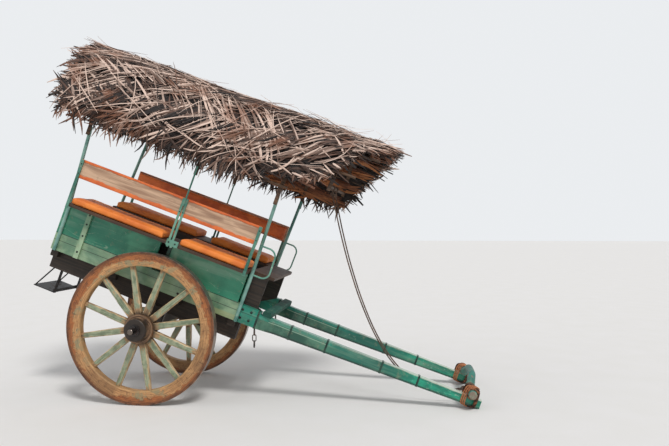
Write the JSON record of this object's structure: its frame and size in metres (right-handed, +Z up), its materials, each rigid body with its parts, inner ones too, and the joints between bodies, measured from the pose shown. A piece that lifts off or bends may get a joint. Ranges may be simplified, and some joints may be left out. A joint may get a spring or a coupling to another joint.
{
  "type": "bullock cart",
  "caption": "Two-wheeled bullock cart with spoked wooden wheels, long shafts and yoke, facing side benches and a thatched barrel roof.",
  "frame": {"origin": "on the ground, midway between the step's rear edge and the shaft tips, on the cart's centre line", "axes": "+X forward along the cart, +Y to its left, +Z up; the cart is parked nose down on its wheels and shaft tips"},
  "size_m": [3.8234, 1.624, 3.0404],
  "materials": {
    "tyre_iron": "rolled iron, polished by the road",
    "felloe_wood": "worn rust-orange paint over ochre wood",
    "spoke_wood": "worn sage-green paint",
    "nave_wood": "greasy dark wood",
    "nave_iron": "painted hoop, worn",
    "axle_iron": "greased iron",
    "frame_wood": "dark weathered timber",
    "floor_wood": "bare worn boards",
    "shaft_wood": "teal gloss paint, scuffed",
    "panel_wood": "green paint, sun-faded and scuffed",
    "strap_iron": "painted strap iron",
    "seat_wood": "dark weathered board",
    "seat_vinyl": "orange vinyl, satin",
    "back_ply": "bare plywood",
    "green_iron": "green enamel, chipped",
    "roof_wood": "raw brown poles",
    "thatch": "dry palm leaf",
    "step_iron": "black iron",
    "yoke_wood": "smooth worn wood, teal on the crown",
    "rope": "twisted rope"
  },
  "bodies": {
    "cart": {"axle_bar": "axle_iron", "linch_pins": "axle_iron", "axle_clips": "axle_iron", "axle_bed": "frame_wood", "bearers": "frame_wood", "cross_members": "frame_wood", "front_board": "frame_wood", "bench_gussets": "frame_wood", "seat_risers": "frame_wood", "floor_boards": "floor_wood", "shaft_right": "shaft_wood", "shaft_left": "shaft_wood", "footrest_beam": "shaft_wood", "side_panel_right": "panel_wood", "side_panel_left": "panel_wood", "side_stiles": "panel_wood", "shaft_bands": "strap_iron", "stay_straps": "strap_iron", "shaft_chains": "strap_iron", "seat_board_right": "seat_wood", "seat_board_left": "seat_wood", "driver_bench": "seat_wood", "seat_cushion_right": "seat_vinyl", "seat_cushion_left": "seat_vinyl", "backrest_pad_right": "seat_vinyl", "backrest_pad_left": "seat_vinyl", "backrest_board_right": "back_ply", "backrest_board_left": "back_ply", "backrest_bars": "green_iron", "roof_posts": "green_iron", "grab_handles": "green_iron", "roof_hoops": "roof_wood", "roof_laths": "roof_wood", "roof_tie_bar": "roof_wood", "thatch_roof": "thatch", "step_tread": "step_iron", "step_hangers": "step_iron", "yoke": "yoke_wood", "yoke_lashing_right": "rope", "yoke_lashing_left": "rope", "rein_ties": "rope", "rein_right": "rope", "rein_left": "rope"},
    "wheel_right": {"tyre_right": "tyre_iron", "felloes_right": "felloe_wood", "spokes_right": "spoke_wood", "nave_right": "nave_wood", "nave_bands_right": "nave_iron"},
    "wheel_left": {"tyre_left": "tyre_iron", "felloes_left": "felloe_wood", "spokes_left": "spoke_wood", "nave_left": "nave_wood", "nave_bands_left": "nave_iron"}
  },
  "joints": [
    {"name": "wheel_right_spin", "type": "hinge", "parent": "cart", "child": "wheel_right", "pos_m": [-0.78177, -0.59, 0.61], "axis": [0, 1, 0], "continuous": true},
    {"name": "wheel_left_spin", "type": "hinge", "parent": "cart", "child": "wheel_left", "pos_m": [-0.78177, 0.59, 0.61], "axis": [0, 1, 0], "continuous": true}
  ]
}
